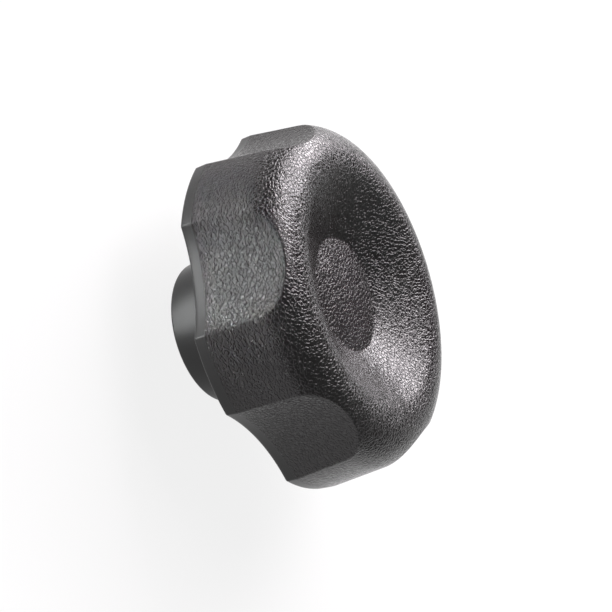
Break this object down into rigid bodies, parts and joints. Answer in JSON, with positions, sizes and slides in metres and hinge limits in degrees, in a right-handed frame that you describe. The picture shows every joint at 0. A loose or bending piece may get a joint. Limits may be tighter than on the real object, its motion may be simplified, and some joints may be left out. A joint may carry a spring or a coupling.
{
  "type": "adjustment knob",
  "caption": "Lobed moulded hand knob with a dished front, wide finger flutes and a protruding rear hub with a blind threaded insert.",
  "frame": {"origin": "centre of the hub's end face, where the knob seats", "axes": "+Z along the knob's axis from the hub to the dished front; +X through the middle of a lobe"},
  "size_m": [0.07, 0.0668, 0.0371],
  "materials": {
    "black_polyamide": "leather grain in front of the parting line, smooth satin rear band and hub",
    "insert_brass": "turned"
  },
  "bodies": {
    "root": {"knob_body": "black_polyamide", "threaded_insert": "insert_brass"}
  },
  "joints": []
}
